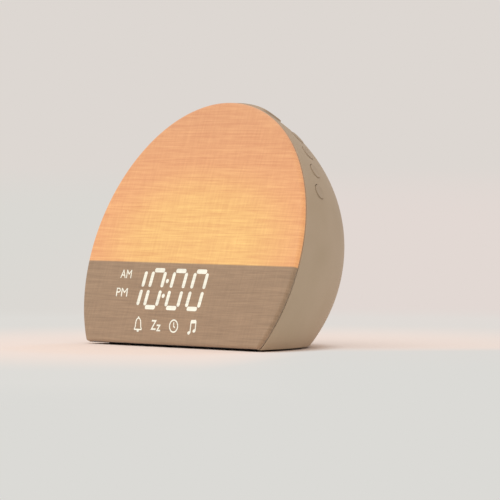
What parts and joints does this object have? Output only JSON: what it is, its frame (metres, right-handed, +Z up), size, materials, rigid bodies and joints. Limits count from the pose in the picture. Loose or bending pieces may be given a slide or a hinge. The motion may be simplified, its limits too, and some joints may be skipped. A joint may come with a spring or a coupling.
{
  "type": "sunrise alarm clock",
  "caption": "Egg-shaped bedside clock with a leaning cloth front: a lamp glows behind the upper part, a digital display below it, a snooze pad on top and round side buttons.",
  "frame": {"origin": "on the table, in the middle of the resting pad's underside", "axes": "+Z up, -Y towards the cloth front, +X towards the right of the front as its user faces it"},
  "size_m": [0.1694, 0.0963, 0.1293],
  "materials": {
    "cloth": "undyed linen weave",
    "shell_plastic": "fine matt taupe",
    "pad_plastic": "soft matt taupe",
    "white_plastic": "white reflector",
    "dark_plastic": "dark grey",
    "opal": "opal diffuser",
    "smoked": "smoked clear",
    "clear_insert": "milky light guide",
    "board": "green solder mask",
    "flex_film": "amber film",
    "chip_black": "moulded black",
    "led": "yellow phosphor",
    "screw_steel": "zinc plated",
    "cell_steel": "bright",
    "pin_brass": "plated",
    "rubber_pad": "matt",
    "basket_steel": "black",
    "cone_paper": "doped cone",
    "foam": "foam",
    "ferrite": "ferrite magnet"
  },
  "bodies": {
    "case": {"backup_cell": "cell_steel", "base_pad": "rubber_pad", "base_plate": "dark_plastic", "base_screws": "screw_steel", "board_chips": "chip_black", "cell_cup": "chip_black", "display_block": "white_plastic", "display_board": "board", "display_board_screws": "screw_steel", "display_chips": "led", "display_segments": "clear_insert", "display_signs": "clear_insert", "display_window": "smoked", "front_fabric": "cloth", "front_frame": "white_plastic", "lamp_leds": "led", "led_board": "board", "led_board_screws": "screw_steel", "left_carrier": "dark_plastic", "left_carrier_screws": "screw_steel", "left_flex": "flex_film", "left_switches": "chip_black", "light_box": "white_plastic", "light_box_screws": "screw_steel", "light_diffuser": "opal", "main_board": "board", "main_board_screws": "screw_steel", "pad_board": "board", "pad_board_screws": "screw_steel", "pad_switches": "chip_black", "power_socket": "chip_black", "right_carrier": "dark_plastic", "right_carrier_screws": "screw_steel", "right_flex": "flex_film", "right_switches": "chip_black", "shell": "shell_plastic", "socket_pin": "pin_brass", "speaker_basket": "basket_steel", "speaker_cone": "cone_paper", "speaker_gasket": "foam", "speaker_magnet": "ferrite", "speaker_screws": "screw_steel"},
    "snooze": {"snooze_pad": "pad_plastic"},
    "right_key_1": {"right_button_1": "pad_plastic"},
    "right_key_2": {"right_button_2": "pad_plastic"},
    "right_key_3": {"right_button_3": "pad_plastic"},
    "right_key_4": {"right_button_4": "pad_plastic"},
    "left_key_1": {"left_button_1": "pad_plastic"},
    "left_key_2": {"left_button_2": "pad_plastic"},
    "left_key_3": {"left_button_3": "pad_plastic"},
    "left_key_4": {"left_button_4": "pad_plastic"}
  },
  "joints": [
    {"name": "snooze_press", "type": "slide", "parent": "case", "child": "snooze", "axis": [0, -0.4822, -0.8761], "range_m": [0, 0.0008], "stiffness_N_per_m": 600},
    {"name": "right_button_1_press", "type": "slide", "parent": "case", "child": "right_key_1", "axis": [-0.5271, -0.4764, -0.7037], "range_m": [0, 0.0008], "stiffness_N_per_m": 400},
    {"name": "right_button_2_press", "type": "slide", "parent": "case", "child": "right_key_2", "axis": [-0.6539, -0.4528, -0.6061], "range_m": [0, 0.0008], "stiffness_N_per_m": 400},
    {"name": "right_button_3_press", "type": "slide", "parent": "case", "child": "right_key_3", "axis": [-0.7601, -0.4252, -0.4913], "range_m": [0, 0.0008], "stiffness_N_per_m": 400},
    {"name": "right_button_4_press", "type": "slide", "parent": "case", "child": "right_key_4", "axis": [-0.8439, -0.3946, -0.3634], "range_m": [0, 0.0008], "stiffness_N_per_m": 400},
    {"name": "left_button_1_press", "type": "slide", "parent": "case", "child": "left_key_1", "axis": [0.5271, -0.4764, -0.7037], "range_m": [0, 0.0008], "stiffness_N_per_m": 400},
    {"name": "left_button_2_press", "type": "slide", "parent": "case", "child": "left_key_2", "axis": [0.6539, -0.4528, -0.6061], "range_m": [0, 0.0008], "stiffness_N_per_m": 400},
    {"name": "left_button_3_press", "type": "slide", "parent": "case", "child": "left_key_3", "axis": [0.7601, -0.4252, -0.4913], "range_m": [0, 0.0008], "stiffness_N_per_m": 400},
    {"name": "left_button_4_press", "type": "slide", "parent": "case", "child": "left_key_4", "axis": [0.8439, -0.3946, -0.3634], "range_m": [0, 0.0008], "stiffness_N_per_m": 400}
  ]
}
